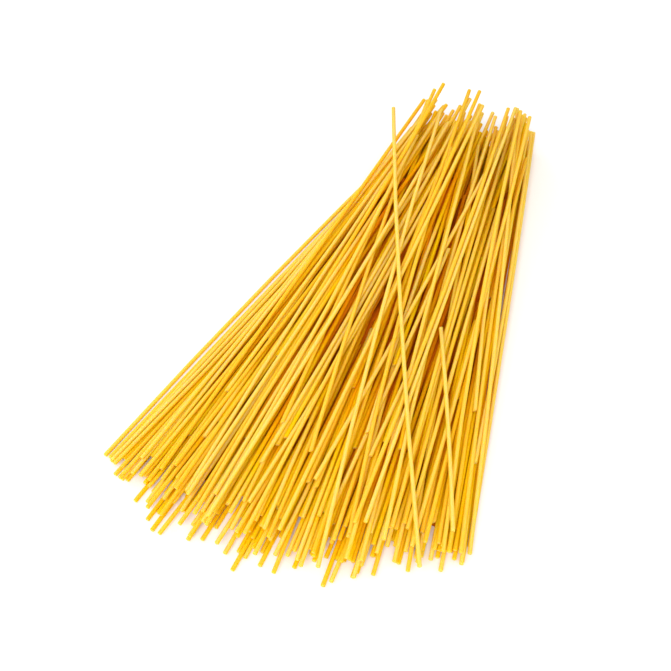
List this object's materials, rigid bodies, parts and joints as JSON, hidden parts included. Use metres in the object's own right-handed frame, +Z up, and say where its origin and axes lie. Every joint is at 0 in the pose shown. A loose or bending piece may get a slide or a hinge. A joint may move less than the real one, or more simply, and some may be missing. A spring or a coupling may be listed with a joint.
{
  "type": "bundle of dry spaghetti",
  "caption": "Loose, fanned-out heap of long, thin, straight pasta strands, close together at one end and spread at the other.",
  "frame": {"origin": "on the table, under the middle of the heap's bounding box", "axes": "+Y along the strands, towards the close end of the fan; +Z up; +X to the right, seen from the wide end"},
  "size_m": [0.168, 0.2966, 0.0426],
  "materials": {
    "pasta": "dry, slightly floury amber-yellow pasta"
  },
  "bodies": {
    "root": {"spaghetti_bundle": "pasta"}
  },
  "joints": []
}
